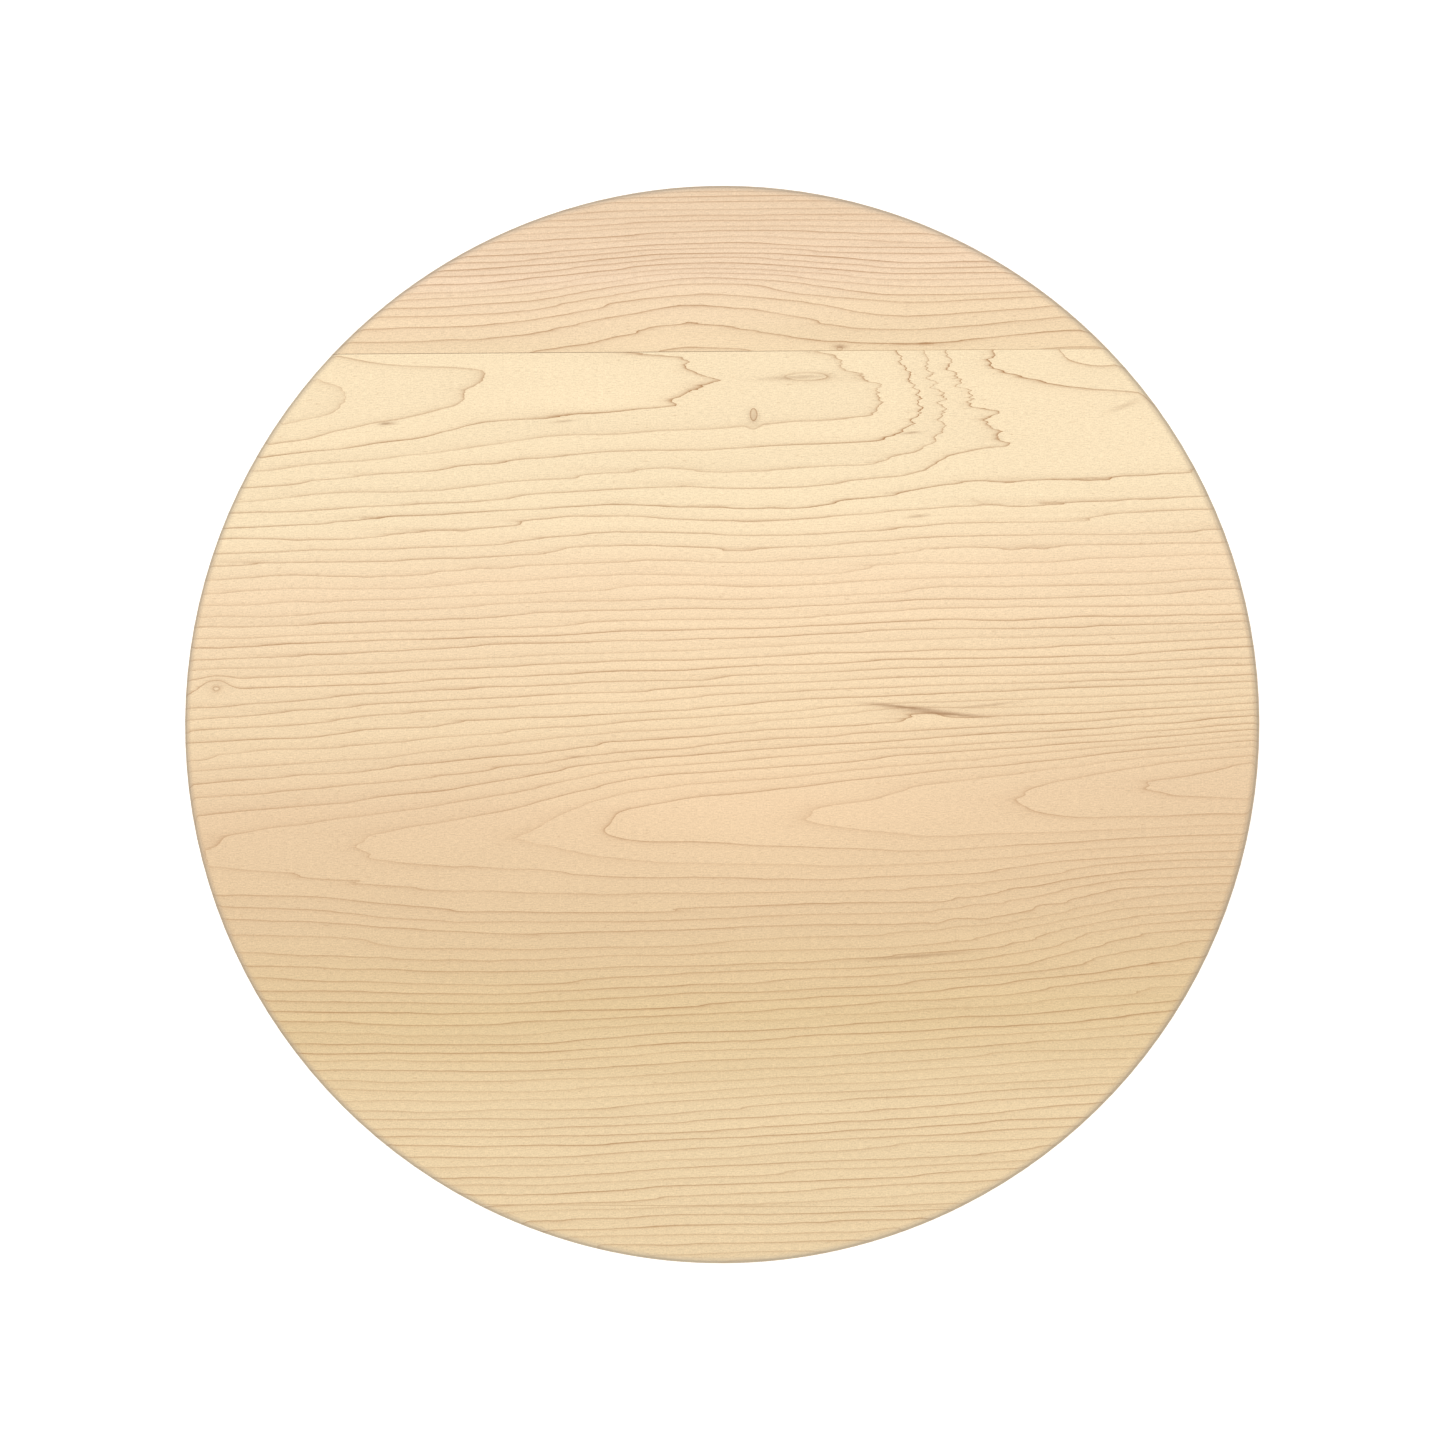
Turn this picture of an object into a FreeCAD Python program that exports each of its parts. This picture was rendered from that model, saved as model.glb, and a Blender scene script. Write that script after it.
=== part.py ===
import FreeCAD, Part
import math
import os
import Sketcher

# A round board of solid hard maple, glued up edge to edge from three planks and then cut to a circle.
#
# The long grain runs along X.  The planks lie side by side along Y, with the glue joints parallel to X,
# and the rear plank is the one towards +Y.  The board lies flat: its underside is the plane Z = 0, and
# the origin is the centre of that underside.  Both faces have the same eased rim, a 45 degree bevel with
# its two corners broken by a small flat.  Each joint holds a thin film of cured glue, cut flush with the
# wood.

# name, value in millimetres, what it is
SIZES = [
    ("board_diameter", 355.6, "diameter of the round board"),
    ("board_thickness", 19.0, "planed thickness of all three planks"),
    ("rear_plank_depth", 55.0, "rear plank, from the rim's rearmost point to its glued edge"),
    ("front_plank_depth", 19.0, "front plank, from the rim's foremost point to its glued edge"),
    ("glue_film", 0.15, "thickness of the cured glue in each joint"),
    ("rim_bevel", 2.0, "leg of the 45 degree bevel on both rims"),
    ("corner_facet", 0.6, "width of the small flat that breaks each corner of a bevel"),
    ("rough_allowance", 4.0, "how far the rough planks stand past the finished board"),
]

PARTS_FOLDER = "parts"
FACET_TURN = math.radians(22.5)  # a facet halves the 45 degree turn at its corner
LOOSEST_EDGE = 0.001  # millimetres that an edge may stray from the faces it joins


def make_sheet(doc):
    """The driving dimensions, one row each: name, value, description."""
    sheet = doc.addObject("Spreadsheet::Sheet", "sizes")
    for row, (name, value, what) in enumerate(SIZES, start=1):
        sheet.set(f"A{row}", name)
        sheet.set(f"B{row}", str(value))
        sheet.set(f"C{row}", what)
        sheet.setAlias(f"B{row}", name)
    doc.recompute()
    return sheet


def starting_sizes():
    """The sheet's values by name, for drawing a sketch close to where its constraints will hold it."""
    return {name: value for name, value, what in SIZES}


def origin_plane(body, role):
    """One of a body's own origin planes, such as XY_Plane."""
    return next(f for f in body.Origin.OriginFeatures if f.Role == role)


def draw_rim_profile(outline):
    """Half of the board's section, from the axis out and back: radius along x, height along y.

    Nine straight lines, each turned 22.5 degrees further to the left than the one before: the underside,
    a facet, a bevel, a facet, the side, and the same again up to the top.  A tenth closes it on the axis.
    """
    size = starting_sizes()
    radius = size["board_diameter"] / 2
    top = size["board_thickness"]
    bevel = size["rim_bevel"]
    facet = size["corner_facet"]
    cut_back = facet / 2 / math.cos(FACET_TURN)
    slanted = cut_back / math.sqrt(2)
    lower_rim = [
        (radius - bevel - cut_back, 0),
        (radius - bevel + slanted, slanted),
        (radius - slanted, bevel - slanted),
        (radius, bevel + cut_back),
    ]
    upper_rim = [(x, top - y) for x, y in reversed(lower_rim)]
    points = [(0, 0)] + lower_rim + upper_rim + [(0, top), (0, 0)]
    lines = [
        outline.addGeometry(Part.LineSegment(FreeCAD.Vector(*start, 0), FreeCAD.Vector(*end, 0)))
        for start, end in zip(points, points[1:])
    ]
    low_corner = outline.addGeometry(Part.Point(FreeCAD.Vector(radius - bevel, 0, 0)), True)
    high_corner = outline.addGeometry(Part.Point(FreeCAD.Vector(radius - bevel, top, 0)), True)
    return lines, low_corner, high_corner


def constrain_rim_profile(outline, lines, low_corner, high_corner):
    """Ties the profile to the sheet.  Points are numbered 1 for a start and 2 for an end."""
    def rule(*words):
        return outline.addConstraint(Sketcher.Constraint(*words))

    underside, low_facet, low_bevel, low_outer_facet, side = lines[:5]
    high_outer_facet, high_bevel, high_facet, top_face, axis = lines[5:]
    for line, following in zip(lines, lines[1:] + lines[:1]):
        rule("Coincident", line, 2, following, 1)
    rule("Coincident", underside, 1, -1, 1)
    for line in (underside, top_face):
        rule("Horizontal", line)
    for line in (side, axis):
        rule("Vertical", line)
    for step, line in enumerate(lines):
        if line not in (underside, side, top_face, axis):
            rule("Angle", line, step * FACET_TURN)
    for line in (low_outer_facet, high_outer_facet, high_facet):
        rule("Equal", low_facet, line)
    for corner, level, slope in ((low_corner, underside, low_bevel), (high_corner, top_face, high_bevel)):
        rule("PointOnObject", corner, 1, level)
        rule("PointOnObject", corner, 1, slope)
    rule("Vertical", low_corner, 1, high_corner, 1)

    size = starting_sizes()
    radius = size["board_diameter"] / 2
    flat = radius - size["rim_bevel"]
    driven = {
        "facet_width": (rule("Distance", low_facet, size["corner_facet"]), "sizes.corner_facet"),
        "outer_radius": (rule("DistanceX", -1, 1, side, 1, radius), "sizes.board_diameter / 2"),
        "board_height": (rule("DistanceY", -1, 1, top_face, 2, size["board_thickness"]),
                         "sizes.board_thickness"),
        "flat_radius": (rule("DistanceX", -1, 1, low_corner, 1, flat),
                        "sizes.board_diameter / 2 - sizes.rim_bevel"),
    }
    for name, (number, formula) in driven.items():
        outline.renameConstraint(number, name)
        outline.setExpression(f"Constraints.{name}", formula)


def make_round_board(doc):
    """The finished outline of the whole board: the rim profile turned once about the Z axis."""
    body = doc.addObject("PartDesign::Body", "round_board")
    outline = body.newObject("Sketcher::SketchObject", "rim_profile")
    outline.AttachmentSupport = [(origin_plane(body, "XZ_Plane"), "")]
    outline.MapMode = "FlatFace"
    constrain_rim_profile(outline, *draw_rim_profile(outline))

    turned = body.newObject("PartDesign::Revolution", "turned_disc")
    turned.Profile = outline
    turned.ReferenceAxis = (outline, ["V_Axis"])
    turned.Angle = 360
    doc.recompute()
    return body


def make_slice(doc, name, board, low_y, high_y):
    """The part of the round board between two Y places, each given as an expression of the sizes."""
    stock = doc.addObject("Part::Box", f"{name}_stock")
    stock.setExpression("Length", "sizes.board_diameter + 2 * sizes.rough_allowance")
    stock.setExpression("Width", f"({high_y}) - ({low_y})")
    stock.setExpression("Height", "sizes.board_thickness + 2 * sizes.rough_allowance")
    stock.setExpression("Placement.Base.x", "-sizes.board_diameter / 2 - sizes.rough_allowance")
    stock.setExpression("Placement.Base.y", low_y)
    stock.setExpression("Placement.Base.z", "-sizes.rough_allowance")

    piece = doc.addObject("Part::Common", name)
    piece.Label = name
    piece.Base = board
    piece.Tool = stock
    return piece


def make_pieces(doc):
    """Three planks and the two glue films between them, from the front (-Y) to the rear (+Y)."""
    board = make_round_board(doc)
    front_edge = "-sizes.board_diameter / 2 - sizes.rough_allowance"
    rear_edge = "sizes.board_diameter / 2 + sizes.rough_allowance"
    front_joint = "-sizes.board_diameter / 2 + sizes.front_plank_depth"
    rear_joint = "sizes.board_diameter / 2 - sizes.rear_plank_depth"
    return [
        make_slice(doc, "front_plank", board, front_edge, front_joint),
        make_slice(doc, "front_glue_film", board, front_joint, f"{front_joint} + sizes.glue_film"),
        make_slice(doc, "middle_plank", board, f"{front_joint} + sizes.glue_film",
                   f"{rear_joint} - sizes.glue_film"),
        make_slice(doc, "rear_glue_film", board, f"{rear_joint} - sizes.glue_film", rear_joint),
        make_slice(doc, "rear_plank", board, rear_joint, rear_edge),
    ]


def check(doc, pieces):
    """Stops the build if any object failed, or if a piece isn't one valid solid."""
    for thing in doc.Objects:
        if "Invalid" in thing.State or "Error" in thing.State:
            raise RuntimeError(f"{thing.Label} did not compute: {thing.State}")
    if not doc.getObject("rim_profile").FullyConstrained:
        raise RuntimeError("the rim profile is not held by its constraints")
    for piece in pieces:
        shape = piece.Shape
        if shape.isNull() or not shape.isValid() or len(shape.Solids) != 1:
            raise RuntimeError(f"{piece.Label} is not one valid solid")
        if max(edge.Tolerance for edge in shape.Edges) > LOOSEST_EDGE:
            raise RuntimeError(f"{piece.Label} has an edge that strays from its faces")


def write(pieces):
    """One STEP file for each piece, named after it."""
    os.makedirs(PARTS_FOLDER, exist_ok=True)
    for piece in pieces:
        piece.Shape.exportStep(os.path.join(PARTS_FOLDER, f"{piece.Label}.step"))
        box = piece.Shape.optimalBoundingBox(False)
        print(f"{piece.Label}: {box.XLength:.2f} x {box.YLength:.2f} x {box.ZLength:.2f} mm, "
              f"{piece.Shape.Volume / 1000:.2f} cm3")


def main():
    doc = FreeCAD.newDocument("round_board")
    make_sheet(doc)
    pieces = make_pieces(doc)
    doc.recompute()
    check(doc, pieces)
    write(pieces)


main()
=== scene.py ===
import math

import bpy
from mathutils import Matrix, Vector


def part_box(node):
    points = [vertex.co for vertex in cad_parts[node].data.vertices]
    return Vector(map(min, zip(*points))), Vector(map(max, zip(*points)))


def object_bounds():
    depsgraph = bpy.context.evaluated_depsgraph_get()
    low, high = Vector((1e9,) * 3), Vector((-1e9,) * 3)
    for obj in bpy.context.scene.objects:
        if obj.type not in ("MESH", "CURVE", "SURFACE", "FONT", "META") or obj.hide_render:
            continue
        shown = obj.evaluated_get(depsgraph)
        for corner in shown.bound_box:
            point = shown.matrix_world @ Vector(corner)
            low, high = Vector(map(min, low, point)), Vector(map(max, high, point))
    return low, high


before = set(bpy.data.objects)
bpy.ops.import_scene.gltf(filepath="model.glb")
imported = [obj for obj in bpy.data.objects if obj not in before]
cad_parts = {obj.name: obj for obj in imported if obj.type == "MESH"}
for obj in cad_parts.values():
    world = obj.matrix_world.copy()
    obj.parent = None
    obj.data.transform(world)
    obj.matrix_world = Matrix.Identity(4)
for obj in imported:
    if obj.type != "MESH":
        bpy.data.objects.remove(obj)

# A round board of hard maple, glued up from three planks.  The CAD nodes are right as they are, so each
# one keeps its shape and gets a finish.  The finish is the wood itself: a growth-ring number is worked
# out at every point of a plank, and the thin dark line at the end of each year is drawn where that number
# passes a whole one.
#
# Lengths in the wood formulas are millimetres: x along the grain, y across it towards the rear plank, and
# depth below the top face.  Their numbers are this board's own figure: where an arch, a knot or a streak
# lies, how large it is and how strong.

MM = 0.001
CAD_BOX = [list(corner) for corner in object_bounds()]
LOW, HIGH = (Vector(corner) for corner in CAD_BOX)
RADIUS = (HIGH.x - LOW.x) / 2
RADIUS_MM = RADIUS / MM
THICKNESS_MM = (HIGH.z - LOW.z) / MM
REAR_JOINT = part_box("rear_plank")[0].y / MM
FRONT_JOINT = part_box("front_plank")[1].y / MM

FLOOR_GAP = 0.3 * MM  # keeps the floor out of the plane of the underside
FLOOR_RADII = 14
CAMERA_RADII = 10


# ---------------------------------------------------------------- sums written as shader nodes

class Wire:
    """A number that varies over the wood.  Ordinary arithmetic on it adds Math nodes to its tree."""

    def __init__(self, tree, socket):
        self.tree = tree
        self.socket = socket

    def __add__(self, other):
        return math_node(self.tree, "ADD", self, other)

    def __sub__(self, other):
        return math_node(self.tree, "SUBTRACT", self, other)

    def __rsub__(self, other):
        return math_node(self.tree, "SUBTRACT", other, self)

    def __mul__(self, other):
        return math_node(self.tree, "MULTIPLY", self, other)

    def __truediv__(self, other):
        return math_node(self.tree, "DIVIDE", self, other)

    def __rtruediv__(self, other):
        return math_node(self.tree, "DIVIDE", other, self)

    def __neg__(self):
        return self * -1.0

    __radd__ = __add__


def plug(tree, socket, value):
    """Sets a socket to a plain number, or links it to a wire."""
    if isinstance(value, Wire):
        tree.links.new(value.socket, socket)
    else:
        socket.default_value = value


def math_node(tree, operation, *values):
    """One Math node, fed with wires or plain numbers."""
    node = tree.nodes.new("ShaderNodeMath")
    node.operation = operation
    for socket, value in zip(node.inputs, values):
        plug(tree, socket, value)
    return Wire(tree, node.outputs[0])


def root(value):
    return math_node(value.tree, "SQRT", value)


def power_of_e(value):
    return math_node(value.tree, "EXPONENT", value)


def clamp(value):
    """Holds a value between 0 and 1."""
    node = value.tree.nodes.new("ShaderNodeClamp")
    plug(value.tree, node.inputs["Value"], value)
    return Wire(value.tree, node.outputs[0])


def hill(value, centre, half_width):
    """A smooth hill: 1 at the centre, falling to 0.37 a half width away, as e to the minus u squared."""
    u = (value - centre) / half_width
    return power_of_e(-(u * u))


def oval(x, y, centre, half_size):
    """A smooth oval hill: 1 at the centre, then e to the minus (u squared plus v squared)."""
    u = (x - centre[0]) / half_size[0]
    v = (y - centre[1]) / half_size[1]
    return power_of_e(-(u * u + v * v))


def ovals(x, y, rows):
    """A sum of oval hills.  Each row gives a centre, a half size and a height."""
    return sum(oval(x, y, centre, half_size) * height for centre, half_size, height in rows)


def step(value, place, half_width):
    """Rises smoothly from 0 to 1 around a place, as half of one plus the hyperbolic tangent."""
    return math_node(value.tree, "TANH", (value - place) / half_width) * 0.5 + 0.5


def blend(first, second, share):
    """Goes from the first value to the second as the share goes from 0 to 1."""
    return first * (1.0 - share) + second * share


def vector(tree, x, y, z):
    """Three numbers or wires joined into one vector socket."""
    node = tree.nodes.new("ShaderNodeCombineXYZ")
    for socket, value in zip(node.inputs, (x, y, z)):
        plug(tree, socket, value)
    return node.outputs[0]


def mottle(place, lengths, detail=2.0, shift=0.0):
    """Cloudy noise about zero, mostly within a half either way, with its own length along x, y and depth.

    A different shift reads another stretch of the noise, so that no two uses of it look alike.
    """
    tree = place[0].tree
    x, y, depth = (value / length for value, length in zip(place, lengths))
    node = tree.nodes.new("ShaderNodeTexNoise")
    node.inputs["Scale"].default_value = 1.0
    node.inputs["Detail"].default_value = detail
    node.inputs["Roughness"].default_value = 0.55
    tree.links.new(vector(tree, x + shift, y - shift, depth + shift), node.inputs["Vector"])
    return (Wire(tree, node.outputs["Fac"]) - 0.5) * 2.0


def chance(value, seed):
    """A random number from 0 to 1 for each whole number."""
    node = value.tree.nodes.new("ShaderNodeTexWhiteNoise")
    node.noise_dimensions = "1D"
    plug(value.tree, node.inputs["W"], math_node(value.tree, "FLOOR", value) + seed)
    return Wire(value.tree, node.outputs["Value"])


# ---------------------------------------------------------------- growth rings of each plank

# the y of the middle line of each band of arches
UPPER_ARCHES = 110.0
LOWER_ARCHES = -31.0

# where the pace of the ring count changes across a plank: place, change in rings per millimetre, roundness,
# and how much the roundness grows for each millimetre of depth
MIDDLE_BENDS = [
    (-78.0, -0.07, 8.0, 0.0),
    (-32.0, -0.58, 11.0, 0.9),
    (46.0, 0.13, 14.0, 0.0),
    (106.0, 0.32, 15.0, 0.9),
]
REAR_BENDS = [(14.0, 0.26, 6.0, 0.0)]

# where rings are lifted towards the rear plank: centre, half size, millimetres of lift
MIDDLE_LIFTS = [
    ((-15.0, -28.0), (45.0, 16.0), 3.5),
    ((-45.0, 112.0), (90.0, 20.0), 4.0),
    ((-72.0, 108.0), (26.0, 14.0), 3.0),
]

# small knots, where rings close round a point: centre, half size, rings gained at the centre
MIDDLE_KNOTS = [
    ((12.0, 101.0), (1.7, 3.0), -0.9),
    ((27.0, 114.0), (11.0, 1.9), 0.65),
    ((124.0, 127.0), (14.0, 9.0), 1.8),
    ((-167.0, 12.6), (4.5, 3.0), 1.3),
    ((66.0, 3.5), (22.0, 2.0), 0.9),
]
REAR_KNOTS = [((40.5, REAR_JOINT + 0.8), (2.2, 1.3), -0.7)]


def bent_count(across, depth, bends, first_pace, last_pace):
    """Rings counted across a plank, from one pace at its front edge to another at its rear edge.

    Each bend adds half its change of pace times the root of (distance squared plus roundness squared).
    That is the distance to a pith line lying that far under the face, so where a bend is deep-set the
    roundness grows with depth and the rings curve over in the end grain.
    """
    total = across * ((first_pace + last_pace) / 2)
    for place, change, roundness, deepening in bends:
        far = across - place
        under = depth * deepening + roundness
        total = total + root(far * far + under * under) * (change / 2)
    return total


def middle_rings(x, y, depth):
    """Two flat-sawn bands, at the top and below the middle, with straighter grain between and below.

    In each band the count climbs along x, so rings close in pointed arches.  The upper arches point to +x
    and crowd together past the middle; the lower ones point to -x.
    """
    slant = x * (0.032 + hill(y, -16.0, 24.0) * 0.045)
    wave = math_node(x.tree, "SINE", (x + 5.0) / -22.0) * oval(x, y, (-5.0, 72.0), (75.0, 26.0)) * 2.4
    crowded_drop = step(x, 45.0, 18.0) * hill(y, 108.0, 24.0) * 4.5
    upper_lift = slant + wave + ovals(x, y, MIDDLE_LIFTS) - crowded_drop
    past_turn = x + 60.0
    turn_roundness = 20.0
    lower_lift = (past_turn + root(past_turn * past_turn + turn_roundness ** 2)) * 0.031 - 3.0
    left_lift = (1.0 - step(x, -118.0, 34.0)) * hill(y, -60.0, 21.0) * 8.0
    right_lift = step(x, 112.0, 26.0) * hill(y, -62.0, 21.0) * 12.0
    low_part = 1.0 - step(y, -70.0, 14.0)
    level = y - blend(upper_lift, lower_lift, low_part) - left_lift - right_lift

    crowding = step(x, 71.0, 13.0) * 3.5
    upper_climb = x / 70.0 - 0.03 + crowding - (1.0 - step(x, -134.0, 24.0)) * 0.9
    lower_climb = x / 60.0 - 0.65 + step(x, -45.0, 14.0) * 0.8 - hill(x, 92.0, 22.0) * 0.25
    arches = upper_climb * hill(level, 116.0, 30.0) + lower_climb * hill(level, LOWER_ARCHES, 20.0)
    wild = oval(x, y, (84.0, -62.0), (32.0, 8.0)) * mottle((x, y, depth), (15.0, 5.0, 9.0), shift=7.0)
    count = bent_count(level, depth, MIDDLE_BENDS, 0.32, 0.12)
    return count + arches + ovals(x, y, MIDDLE_KNOTS) + wild * 0.8


def rear_rings(x, y, depth):
    """Straight grain that tightens towards the rim and humps over the middle of the joint."""
    above = y - REAR_JOINT
    hump = oval(x, above, (-2.0, 16.0), (46.0, 19.0)) * 10.0
    right_lift = step(x, 84.0, 26.0) * hill(above, 8.0, 16.0) * 4.0
    level = above - hump - right_lift - x * 0.012 + depth * 0.35
    count = bent_count(level, depth, REAR_BENDS, 0.19, 0.45) - 0.03
    uneven = mottle((x, y, depth), (280.0, 2.6, 9.0), shift=31.0) * hill(above, 42.0, 26.0) * 0.45
    return count + uneven + ovals(x, y, REAR_KNOTS)


def front_rings(x, y, depth):
    """Straight, evenly spaced grain that rises gently to the right."""
    return (y - FRONT_JOINT - x * 0.04 + depth * 0.5) * 0.33


def wander(x, y, depth):
    """How far real rings stray from the plain formula: a smooth part, and a fine part for the lines alone.

    The smooth part is broad drift with shorter waves, which die down in the bands of arches so that the
    arches stay whole.  The fine part is a slight tremor, and deep jags where the upper lines crowd.
    """
    place = (x, y, depth)
    upper_band = hill(y, UPPER_ARCHES, 26.0)
    lower_band = hill(y, LOWER_ARCHES, 14.0)
    arch_bands = upper_band + lower_band
    smooth = (
        mottle(place, (90.0, 16.0, 22.0), shift=3.0) * 0.6
        + mottle(place, (26.0, 6.0, 9.0), shift=11.0) * (1.0 - arch_bands * 0.75) * 0.2
        + mottle(place, (260.0, 5.0, 9.0), shift=37.0) * (1.0 - arch_bands) * 0.5
    )
    crowded = hill(y, UPPER_ARCHES, 14.0) * (hill(x, 73.0, 15.0) + hill(x, 50.0, 14.0) * 0.15)
    jags = mottle(place, (22.0, 2.2, 6.0), shift=19.0) * crowded * 0.9
    tremor = mottle(place, (14.0, 1.7, 1.8), detail=3.0, shift=17.0)
    tremor = tremor * (crowded * 0.08 + 0.055 - upper_band * 0.01 - lower_band * 0.04)
    return smooth, jags + tremor


def ring_group(name, rings):
    """A node group that gives the ring number at a place: smooth, and with the fine wander of real wood."""
    tree = bpy.data.node_groups.new(f"{name} ring number", "ShaderNodeTree")
    for word in ("x", "y", "depth"):
        tree.interface.new_socket(name=word, in_out="INPUT", socket_type="NodeSocketFloat")
    for word in ("smooth", "wandering"):
        tree.interface.new_socket(name=word, in_out="OUTPUT", socket_type="NodeSocketFloat")
    source = tree.nodes.new("NodeGroupInput")
    sink = tree.nodes.new("NodeGroupOutput")
    x, y, depth = (Wire(tree, source.outputs[word]) for word in ("x", "y", "depth"))
    broad, fine = wander(x, y, depth)
    smooth = rings(x, y, depth) + broad
    plug(tree, sink.inputs["smooth"], smooth)
    plug(tree, sink.inputs["wandering"], smooth + fine)
    return tree


def read_rings(tree, group, x, y, depth):
    """The smooth and the wandering ring number at a place, from a plank's node group."""
    node = tree.nodes.new("ShaderNodeGroup")
    node.node_tree = group
    for word, value in (("x", x), ("y", y), ("depth", depth)):
        plug(tree, node.inputs[word], value)
    return Wire(tree, node.outputs["smooth"]), Wire(tree, node.outputs["wandering"])


# ---------------------------------------------------------------- tones

def tone(red, green, blue):
    """A colour as seen, 0 to 255, turned into the linear amounts that a shader takes."""
    def linear(part):
        part = part / 255
        return part / 12.92 if part <= 0.04045 else ((part + 0.055) / 1.055) ** 2.4
    return (linear(red), linear(green), linear(blue), 1.0)


CREAM = tone(252, 229, 190)
PALE_STRAW = tone(249, 221, 183)
WARM_STRAW = tone(245, 218, 178)
PEACH = tone(236, 205, 166)
DULL_PEACH = tone(232, 202, 161)
OLIVE_STRAW = tone(231, 203, 156)
GREEN_STRAW = tone(240, 214, 171)
ROSE = tone(243, 214, 180)
PALE_ROSE = tone(249, 220, 187)
LATEWOOD = tone(170, 117, 66)
MINERAL = tone(146, 94, 48)
END_GRAIN = tone(205, 168, 122)
# grey-brown of the painted shade on the bevel, darkest at its outer edge
PAINTED_BEVEL_SHADE = tone(150, 138, 120)

# the y at which each tone of a plank is purest
MIDDLE_TONES = [
    (-158, GREEN_STRAW),
    (-128, GREEN_STRAW),
    (-96, OLIVE_STRAW),
    (-62, DULL_PEACH),
    (-26, PEACH),
    (2, WARM_STRAW),
    (48, PALE_STRAW),
    (72, CREAM),
    (122, CREAM),
]
REAR_TONES = [(123, WARM_STRAW), (136, PALE_STRAW), (150, PALE_ROSE), (166, ROSE), (178, ROSE)]
FRONT_TONES = [(-178, GREEN_STRAW), (-159, GREEN_STRAW)]

# patches where the wood is brighter: centre, half size, share of brightness gained
GLOWS = [
    ((28.0, 0.0), (105.0, 75.0), 0.055),
    ((5.0, -27.0), (50.0, 16.0), 0.05),
]

# dark mineral streaks: centre, half length and half width, rise per length, strength
MIDDLE_STREAKS = [
    ((-110.0, 99.5), (2.6, 0.55), 0.05, 0.9),
    ((-51.0, 100.0), (4.0, 0.4), 0.1, 0.5),
    ((12.0, 101.0), (1.6, 2.4), 0.0, 0.5),
    ((26.0, 114.0), (11.0, 0.7), 0.04, 0.5),
    ((64.0, 95.5), (3.0, 0.4), 0.1, 0.7),
    ((66.0, 68.0), (3.5, 0.5), 0.08, 0.6),
    ((62.0, 5.2), (12.0, 0.6), -0.1, 1.0),
    ((76.0, 3.0), (13.0, 0.5), -0.08, 0.9),
    ((90.0, 6.0), (9.0, 0.4), 0.1, 0.5),
    ((134.0, 104.0), (5.0, 0.8), 0.35, 0.35),
    ((-47.0, -11.0), (3.0, 0.4), 0.0, 0.3),
    ((-166.0, 13.0), (3.4, 2.0), 0.1, 0.14),
    ((66.0, -76.5), (15.0, 0.55), 0.07, 0.6),
]
REAR_STREAKS = [((40.5, 124.0), (2.4, 0.7), 0.0, 0.8)]

# where the ring lines run faint: centre, half size, share of their strength lost, or gained if below 0
MIDDLE_FAINT = [
    ((0.0, -50.0), (400.0, 30.0), 0.36),
    ((-105.0, -38.0), (55.0, 12.0), 0.6),
    ((62.0, 106.0), (34.0, 18.0), -0.9),
]


def colour_ramp(tree, position, tones):
    """Tones laid along y, from the first place to the last."""
    first, last = tones[0][0], tones[-1][0]
    node = tree.nodes.new("ShaderNodeValToRGB")
    plug(tree, node.inputs["Fac"], (position - first) / (last - first))
    stops = node.color_ramp.elements
    while len(stops) < len(tones):
        stops.new(1.0)
    for stop, (place, colour) in zip(stops, tones):
        stop.position = (place - first) / (last - first)
        stop.color = colour
    return node.outputs["Color"]


def tint(tree, colour, towards, share):
    """Mixes a colour part of the way towards another."""
    node = tree.nodes.new("ShaderNodeMix")
    node.data_type = "RGBA"
    plug(tree, node.inputs["Factor"], share)
    tree.links.new(colour, node.inputs["A"])
    node.inputs["B"].default_value = towards
    return node.outputs["Result"]


def brighten(tree, colour, factor):
    """Multiplies a colour by a factor near 1."""
    node = tree.nodes.new("ShaderNodeVectorMath")
    node.operation = "SCALE"
    tree.links.new(colour, node.inputs[0])
    plug(tree, node.inputs["Scale"], factor)
    return node.outputs["Vector"]


# ---------------------------------------------------------------- the finished wood

def surface_point(tree):
    """Where a point of the wood is, as x, y and depth in millimetres, and which way its surface faces."""
    source = tree.nodes.new("ShaderNodeTexCoord")
    split = tree.nodes.new("ShaderNodeSeparateXYZ")
    tree.links.new(source.outputs["Object"], split.inputs[0])
    x, y, z = (Wire(tree, socket) / MM for socket in split.outputs)
    facing = tree.nodes.new("ShaderNodeSeparateXYZ")
    tree.links.new(source.outputs["Normal"], facing.inputs[0])
    return (x, y, THICKNESS_MM - z), tuple(Wire(tree, socket) for socket in facing.outputs)


def lines_and_pace(tree, group, place, facing):
    """The wandering ring number, and its pace in rings per millimetre along the surface.

    The pace is the slope of the smooth number, less the part of it that runs along the surface's normal.
    """
    reach = 0.2
    least_pace = 0.02
    smooth, wandering = read_rings(tree, group, *place)
    slopes = []
    for axis in range(3):
        moved = list(place)
        moved[axis] = place[axis] + reach
        smooth_there, _ = read_rings(tree, group, *moved)
        slopes.append((smooth_there - smooth) / reach)
    along_x, along_y, along_depth = slopes
    inward = along_x * facing[0] + along_y * facing[1] - along_depth * facing[2]
    whole = along_x * along_x + along_y * along_y + along_depth * along_depth
    pace = root(math_node(tree, "MAXIMUM", whole - inward * inward, least_pace ** 2))
    return wandering, pace


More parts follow.
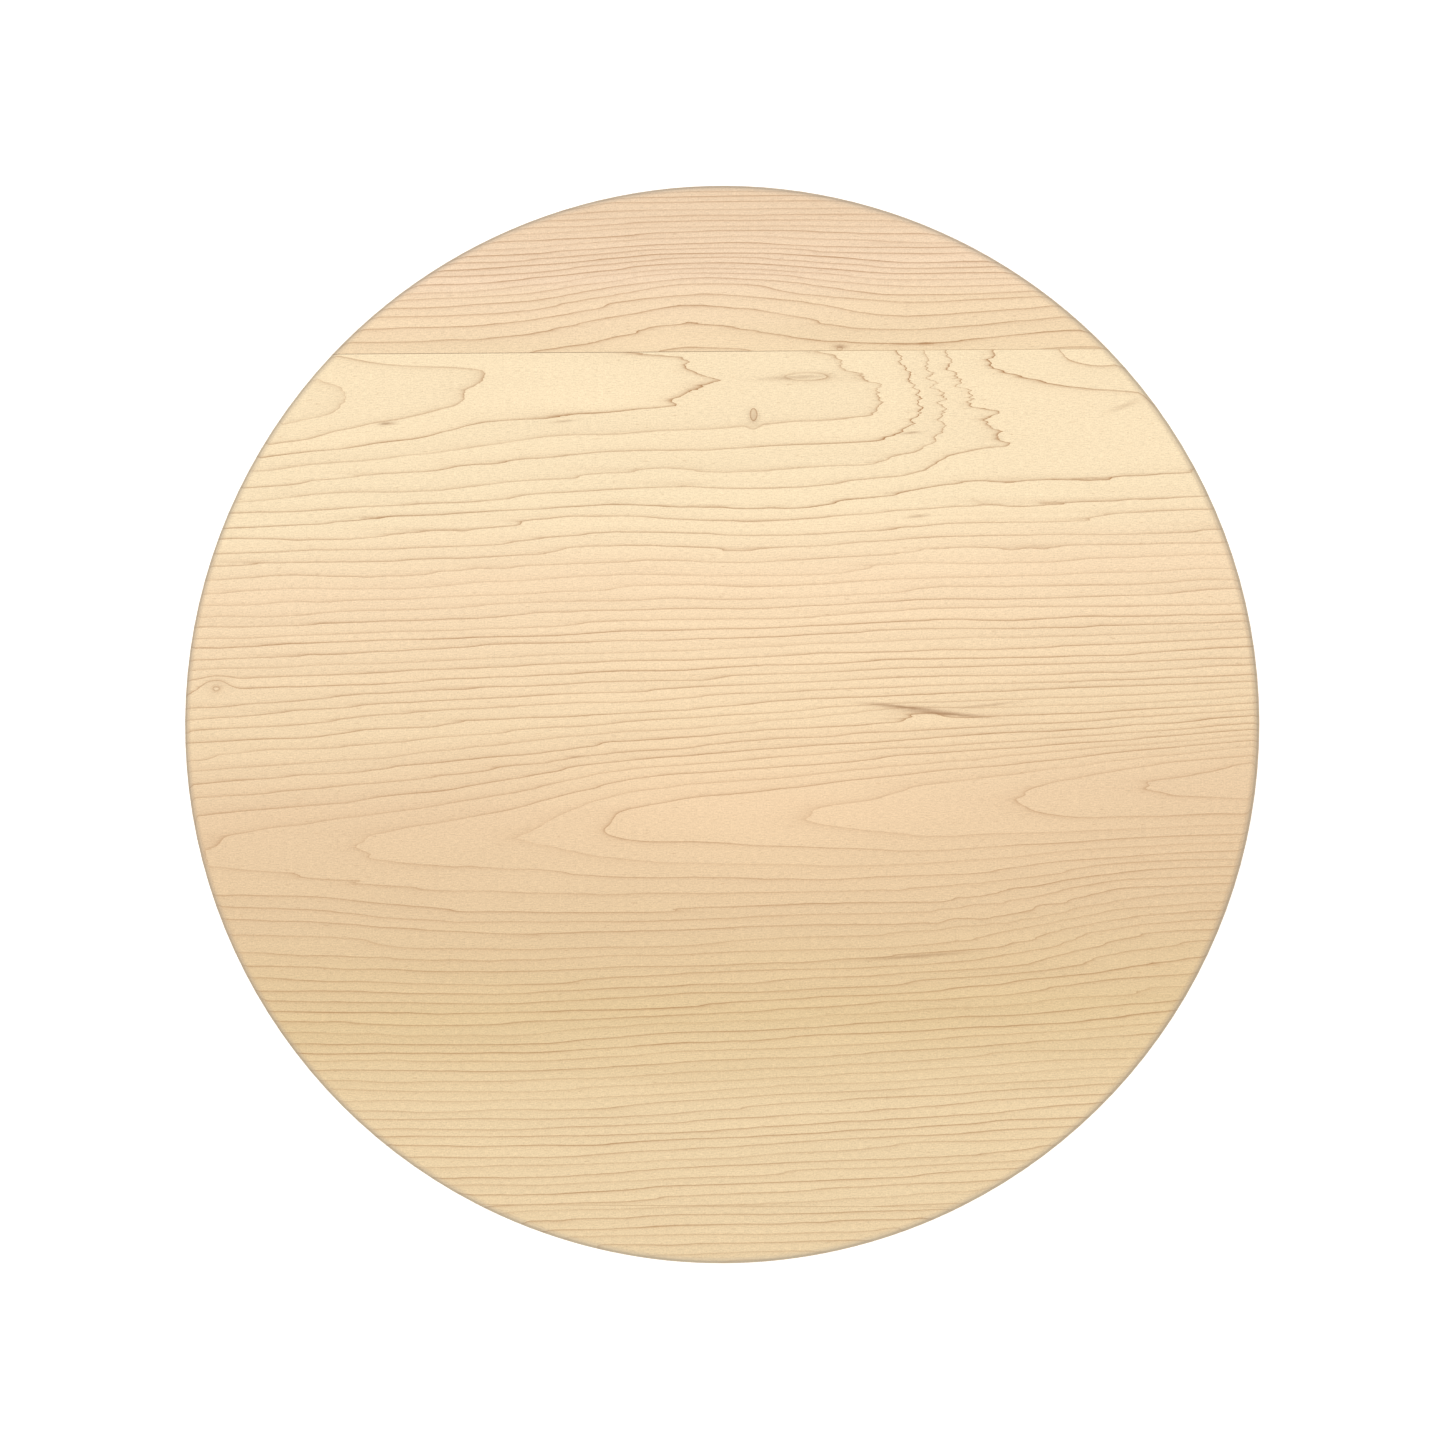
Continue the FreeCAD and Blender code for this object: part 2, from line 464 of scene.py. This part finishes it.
def latewood(count, pace, place, faint):
    """Darkness of the year's last wood: it deepens towards the ring's end, then stops at a sharp edge.

    Each side fades as e to the minus distance over width, and distance is a share of a ring over the pace.
    A faint shoulder reaches several widths back into the ring.
    """
    x, y, depth = place
    sharp_width = 0.1
    shoulder_widths = 6.0
    width = 0.19 + 0.013 / pace
    share = math_node(count.tree, "FRACT", count)
    before_edge = (1.0 - share) / pace
    after_edge = share / pace
    dark = power_of_e(-(before_edge / width)) + power_of_e(-(after_edge / sharp_width)) * 0.5
    shoulder = power_of_e(-(before_edge / (width * shoulder_widths))) * 0.13
    strength = chance(count, seed=5.0) * 0.7 + 0.3
    for centre, half_size, lost in faint:
        strength = strength * (1.0 - oval(x, y, centre, half_size) * lost)
    fading = mottle(place, (50.0, 4.0, 9.0), shift=23.0) * 0.7 + 0.95
    return clamp((dark * strength + shoulder) * fading)


def streak_mask(place, streaks):
    """How far a point lies inside the mineral streaks, each a thin ragged lens near the top face.

    A lens is e to the minus (u squared plus v squared), with v measured from the streak's sloping middle
    line and shaken by noise.
    """
    x, y, depth = place
    reach_down = 6.0
    ragged = mottle(place, (4.0, 0.8, 2.0), detail=3.0, shift=29.0) * 0.8
    total = 0.0
    for (middle_x, middle_y), (half_length, half_width), rise, strength in streaks:
        along = x - middle_x
        u = along / half_length
        v = (y - middle_y - along * rise) / half_width + ragged
        total = total + power_of_e(-(u * u + v * v)) * strength
    return clamp(total * hill(depth, 0.0, reach_down))


def plain_wood(tree, place, count, tones, fine_grain):
    """The wood between its lines: tones across the plank, varied by glow, year, cloud and fine grain."""
    x, y, depth = place
    drift = mottle(place, (110.0, 11.0, 14.0), shift=41.0) * 9.0
    colour = colour_ramp(tree, y - x * 0.03 + drift, tones)
    year = (chance(count, seed=61.0) - 0.5) * (0.022 + hill(y, 100.0, 18.0) * 0.03)
    cloud = mottle(place, (60.0, 8.0, 10.0), detail=3.0, shift=53.0) * 0.03
    return brighten(tree, colour, 0.985 + ovals(x, y, GLOWS) + year + cloud + fine_grain)


def painted_bevel_shade(place):
    """Painted shade on the bevel: a darkening that begins at the inner edge of a bevel and more than
    doubles further out.
    """
    x, y, depth = place
    out = root(x * x + y * y) - RADIUS_MM
    to_face = math_node(x.tree, "MINIMUM", depth, THICKNESS_MM - depth)
    on_bevel = step(out, -1.9, 0.4) * 0.32 + step(out, -0.9, 0.25) * 0.38
    return on_bevel * (1.0 - step(to_face, 2.6, 0.4))


def add_relief(tree, shader, height, strength, depth):
    """Fine bumps in the surface, with their full height given in metres."""
    relief = tree.nodes.new("ShaderNodeBump")
    relief.inputs["Strength"].default_value = strength
    relief.inputs["Distance"].default_value = depth
    plug(tree, relief.inputs["Height"], height)
    tree.links.new(relief.outputs["Normal"], shader.inputs["Normal"])


def new_material(name):
    """A material with nothing but its shader, and the tree that it stands in."""
    material = bpy.data.materials.new(name)
    material.use_nodes = True
    return material, material.node_tree, material.node_tree.nodes["Principled BSDF"]


def maple(name, rings, tones, streaks=(), faint=()):
    """Sanded hard maple: ring lines, fine pores, ray flecks, drifting tone and darker end grain."""
    material, tree, shader = new_material(name)
    place, facing = surface_point(tree)
    count, pace = lines_and_pace(tree, ring_group(name, rings), place, facing)
    lines = latewood(count, pace, place, faint)
    pores = mottle(place, (2.2, 0.34, 0.34), detail=3.0, shift=67.0)
    grit = mottle(place, (0.55, 0.4, 0.4), shift=71.0)
    flecks = clamp(mottle(place, (3.2, 0.5, 0.9), detail=1.0, shift=83.0) * 4.0 - 1.35)
    end_on = facing[0] * facing[0]

    colour = plain_wood(tree, place, count, tones, pores * 0.21 + grit * 0.25)
    colour = tint(tree, colour, LATEWOOD, flecks * 0.3)
    colour = tint(tree, colour, LATEWOOD, lines * 0.93)
    if streaks:
        colour = tint(tree, colour, MINERAL, streak_mask(place, streaks) * 0.68)
    colour = tint(tree, colour, END_GRAIN, end_on * 0.4)
    # painted shade: the bevel darkens towards its outer edge, where the tilted face and the side wall fall
    # into shade
    colour = tint(tree, colour, PAINTED_BEVEL_SHADE, painted_bevel_shade(place))
    tree.links.new(colour, shader.inputs["Base Color"])

    sheen_drift = mottle(place, (30.0, 6.0, 6.0), shift=97.0) * 0.05
    plug(tree, shader.inputs["Roughness"], 0.5 + lines * 0.07 + sheen_drift + end_on * 0.12)
    shader.inputs["Specular IOR Level"].default_value = 0.35
    add_relief(tree, shader, pores * 0.7 + grit * 0.3 - lines * 0.8, strength=0.5, depth=0.03 * MM)
    return material


def glue(name, colour, right_colour, unevenness):
    """Cured wood glue: amber, a little glossy, blotchy, and another shade past the middle of the joint."""
    material, tree, shader = new_material(name)
    place, _ = surface_point(tree)
    base = tree.nodes.new("ShaderNodeRGB")
    base.outputs[0].default_value = colour
    blotches = mottle(place, (9.0, 1.0, 3.0), detail=3.0, shift=5.0)
    shaded = tint(tree, base.outputs[0], right_colour, step(place[0], 30.0, 25.0))
    tree.links.new(brighten(tree, shaded, 1.0 + blotches * unevenness), shader.inputs["Base Color"])
    plug(tree, shader.inputs["Roughness"], 0.42 + blotches * 0.12)
    add_relief(tree, shader, blotches, strength=0.4, depth=0.02 * MM)
    return material


def finish_planks():
    """Gives each plank and glue film its own material."""
    finishes = {
        "middle_plank": maple("middle maple", middle_rings, MIDDLE_TONES, MIDDLE_STREAKS, MIDDLE_FAINT),
        "rear_plank": maple("rear maple", rear_rings, REAR_TONES, REAR_STREAKS),
        "front_plank": maple("front maple", front_rings, FRONT_TONES),
        "rear_glue_film": glue("dark glue line", tone(120, 84, 52), tone(190, 154, 110), 0.25),
        "front_glue_film": glue("pale glue line", tone(196, 160, 116), tone(206, 172, 128), 0.15),
    }
    for node, material in finishes.items():
        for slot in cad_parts[node].material_slots:
            slot.material = material


# ---------------------------------------------------------------- studio

def make_floor():
    """A wide pale sheet just under the board, glowing a little so that shadows on it stay faint."""
    half = RADIUS * FLOOR_RADII
    top = LOW.z - FLOOR_GAP
    corners = [(-half, -half, top), (half, -half, top), (half, half, top), (-half, half, top)]
    mesh = bpy.data.meshes.new("pale_floor")
    mesh.from_pydata(corners, [], [(0, 1, 2, 3)])
    floor = bpy.data.objects.new("pale_floor", mesh)
    bpy.context.scene.collection.objects.link(floor)
    material, _, shader = new_material("matt white paper")
    shader.inputs["Base Color"].default_value = (0.97, 0.97, 0.97, 1.0)
    shader.inputs["Roughness"].default_value = 0.9
    shader.inputs["Specular IOR Level"].default_value = 0.1
    shader.inputs["Emission Color"].default_value = (1.0, 1.0, 1.0, 1.0)
    shader.inputs["Emission Strength"].default_value = 0.45
    mesh.materials.append(material)


def make_softbox(name, place, size, power):
    """A square area light turned to face the board's centre: metres and watts."""
    lamp = bpy.data.lights.new(name, "AREA")
    lamp.size = size
    lamp.energy = power
    holder = bpy.data.objects.new(name, lamp)
    holder.location = place
    holder.rotation_euler = (-Vector(place)).to_track_quat("-Z", "Y").to_euler()
    bpy.context.scene.collection.objects.link(holder)


def make_studio():
    """White surroundings give most of the light, and a softbox behind lifts the rear of the board."""
    world = bpy.data.worlds.new("white room")
    world.use_nodes = True
    surroundings = world.node_tree.nodes["Background"]
    surroundings.inputs["Color"].default_value = (1.0, 1.0, 1.0, 1.0)
    surroundings.inputs["Strength"].default_value = 0.96
    bpy.context.scene.world = world
    bpy.context.scene.view_settings.view_transform = "Standard"
    make_softbox("rear softbox", place=(-0.15, 0.9, 1.5), size=1.2, power=1.8)
    make_floor()


def make_camera():
    """High above the board, leaning under five degrees off the vertical towards +x, with +y up the picture.

    It aims a little off the centre of the top face.
    """
    lean = math.radians(4.7)
    side = math.radians(77.0)
    aim = Vector((0.0017, 0.0003, HIGH.z))
    back = Vector((math.sin(side) * math.sin(lean), -math.cos(side) * math.sin(lean), math.cos(lean)))
    right = Vector((0.0, 1.0, 0.0)).cross(back).normalized()
    up = back.cross(right)
    turned = Matrix((right, up, back)).transposed().to_4x4()
    data = bpy.data.cameras.new("overhead camera")
    data.sensor_width = 36.0
    data.lens = 134.45
    camera = bpy.data.objects.new("overhead camera", data)
    camera.matrix_world = Matrix.Translation(aim + back * RADIUS * CAMERA_RADII) @ turned
    bpy.context.scene.collection.objects.link(camera)
    bpy.context.scene.camera = camera


make_camera()
make_studio()
finish_planks()
